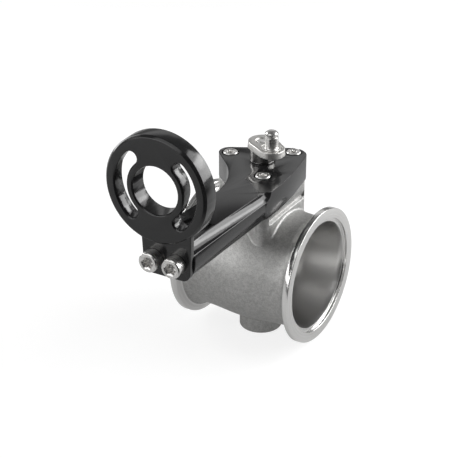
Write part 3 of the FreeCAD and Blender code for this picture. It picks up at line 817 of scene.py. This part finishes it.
class WASTEGATE_OT_stage(bpy.types.Operator):
    """Floor, soft lights, room light and camera"""
    bl_idname = "wastegate.stage"
    bl_label = "Studio"

    def execute(self, context):
        scene = context.scene
        studio = scene.wastegate_studio
        scene.view_settings.view_transform = "Standard"
        self.make_floor(studio)
        self.make_world(scene, studio)
        middle = Vector((VALVE_X, 0, 0))
        for name, direction, distance, size, radiance in SOFTBOXES:
            softbox(name, middle, direction, distance, size, radiance)
        name, direction, distance, size, radiance = ARM_SOFTBOX
        softbox(name, ARM_MIDDLE, direction, distance, size, radiance)
        self.make_camera(scene, studio, middle)
        return {"FINISHED"}

    def make_floor(self, studio):
        """Pale disc under the part. For the camera its white is part glow, so that the part's shadow
        on it is faint. In reflections it carries a painted shade towards the front right and a painted glow
        in one patch."""
        ring = turned_points(np.array([(FLOOR_RADIUS, 0.0), (0.0, 0.0)]), steps=64)
        floor = grid_piece("studio_floor", ring + np.array([VALVE_X, 0, cad_low.z]))
        material = bpy.data.materials.new("studio_floor_white")
        material.use_nodes = True
        board = Board(material.node_tree)
        board.tree.nodes.clear()
        path = board.add("ShaderNodeLightPath")
        mirrored = board.math("MAXIMUM", path.outputs["Is Glossy Ray"], path.outputs["Is Transmission Ray"])
        x, y, _ = board.parts(board.add("ShaderNodeTexCoord").outputs["Object"])
        # Painted reflection: for glossy rays the floor glows in one patch (a painted pool of light) and
        # dims towards the front right (painted shade)
        aside = board.math(
            "ADD", board.math("MULTIPLY", board.math("SUBTRACT", x, VALVE_X), FRONT_RIGHT_X),
            board.math("MULTIPLY", y, FRONT_RIGHT_Y))
        across = board.math("POWER", board.math("SUBTRACT", x, PATCH_X), 2.0)
        along = board.math("POWER", board.math("SUBTRACT", y, PATCH_Y), 2.0)
        from_patch = board.math("SQRT", board.math("ADD", across, along))
        patch = board.ramp(from_patch, *PATCH_FADE, PATCH_GAIN * studio.floor_shine, 0.0)
        painted_shade_dimmer = board.ramp(aside, *DIM_FADE, studio.floor_shine, DIM_SHARE * studio.floor_shine)
        shine = board.math("MAXIMUM", patch, painted_shade_dimmer)
        glow = board.add("ShaderNodeEmission")
        board.feed(glow.inputs["Strength"], board.math(
            "ADD", board.math("MULTIPLY", path.outputs["Is Camera Ray"], studio.floor_white),
            board.math("MULTIPLY", mirrored, shine)))
        matt = board.add("ShaderNodeBsdfDiffuse")
        tone = board.ramp(path.outputs["Is Camera Ray"], 0, 1, OTHER_TONE, CAMERA_TONE, smooth=False)
        # The painted shade towards the front right also dims the floor's diffuse tone in reflections
        dimmed = board.ramp(board.math("DIVIDE", shine, studio.floor_shine), 0, 1, smooth=False)
        tone = board.math("MULTIPLY", tone, board.mix(mirrored, 1.0, dimmed))
        board.feed(matt.inputs["Color"], board.join(tone, tone, tone))
        both = board.add("ShaderNodeAddShader")
        board.feed(both.inputs[0], glow.outputs[0])
        board.feed(both.inputs[1], matt.outputs[0])
        board.feed(board.add("ShaderNodeOutputMaterial").inputs["Surface"], both.outputs[0])
        floor.data.materials.append(material)

    def make_world(self, scene, studio):
        """White for the camera. For light and reflections the room is pale on the left and dark on the
        right near the horizon, with bands of its own at each height."""
        world = bpy.data.worlds.new("studio_room")
        scene.world = world
        world.use_nodes = True
        board = Board(world.node_tree)
        board.tree.nodes.clear()
        path = board.add("ShaderNodeLightPath")
        x, _, z = board.parts(board.add("ShaderNodeTexCoord").outputs["Generated"])
        sides = board.ramp(x, *SIDE_FADE, studio.room_left, studio.room_right)
        panels = board.add("ShaderNodeValToRGB")
        board.feed(panels.inputs[0], z)
        elements = panels.color_ramp.elements
        for height, _ in ROOM_PANELS[1:-1]:
            elements.new(height)
        for element, (height, light) in zip(elements, ROOM_PANELS):
            element.position = height
            element.color = (light, light, light, 1.0)
        high = board.ramp(z, *CEILING_FADE)
        room = board.math("MULTIPLY", board.mix(high, sides, studio.room_top), panels.outputs[0])
        strength = board.mix(path.outputs["Is Camera Ray"], room, 1.0)
        glow = board.add("ShaderNodeBackground")
        board.feed(glow.inputs["Strength"], strength)
        board.feed(board.add("ShaderNodeOutputWorld").inputs["Surface"], glow.outputs[0])

    def make_camera(self, scene, studio, middle):
        """Camera on its line of sight, beside the valve centre by the aim."""
        right, up, back = view_axes(studio)
        data = bpy.data.cameras.new("studio_camera")
        data.sensor_width = 36.0
        data.lens = studio.lens
        data.clip_start = 0.01
        data.clip_end = 20.0
        camera = bpy.data.objects.new("studio_camera", data)
        scene.collection.objects.link(camera)
        turn = Matrix((right, up, back)).transposed().to_4x4()
        place = middle + back * studio.distance + right * studio.aim_right + up * studio.aim_up
        camera.matrix_world = Matrix.Translation(place) @ turn
        scene.camera = camera


class WASTEGATE_PT_sidebar(bpy.types.Panel):
    """Lists the wastegate's pieces"""
    bl_idname = "WASTEGATE_PT_sidebar"
    bl_label = "Wastegate"
    bl_space_type = "VIEW_3D"
    bl_region_type = "UI"
    bl_category = "Wastegate"

    def draw(self, context):
        for step in STEPS:
            self.layout.operator(step.bl_idname)
        for group in (context.scene.wastegate_sizes, context.scene.wastegate_colours,
                      context.scene.wastegate_studio):
            box = self.layout.box()
            for name in group.__annotations__:
                box.prop(group, name)


STEPS = (WASTEGATE_OT_housing, WASTEGATE_OT_bracket, WASTEGATE_OT_lever, WASTEGATE_OT_pin,
         WASTEGATE_OT_turned, WASTEGATE_OT_seals, WASTEGATE_OT_screws, WASTEGATE_OT_stage)
CLASSES = (WastegateSizes, WastegateColours, WastegateStudio, *STEPS, WASTEGATE_PT_sidebar)


def register():
    """Adds the classes and their properties."""
    for item in CLASSES:
        bpy.utils.register_class(item)
    bpy.types.Scene.wastegate_sizes = PointerProperty(type=WastegateSizes)
    bpy.types.Scene.wastegate_colours = PointerProperty(type=WastegateColours)
    bpy.types.Scene.wastegate_studio = PointerProperty(type=WastegateStudio)


def unregister():
    """Takes the classes and their properties away."""
    del bpy.types.Scene.wastegate_studio
    del bpy.types.Scene.wastegate_colours
    del bpy.types.Scene.wastegate_sizes
    for item in reversed(CLASSES):
        bpy.utils.unregister_class(item)


def main():
    """Makes every piece and the studio."""
    register()
    for step in STEPS:
        category, name = step.bl_idname.split(".")
        getattr(getattr(bpy.ops, category), name)()


if __name__ == "__main__":
    main()
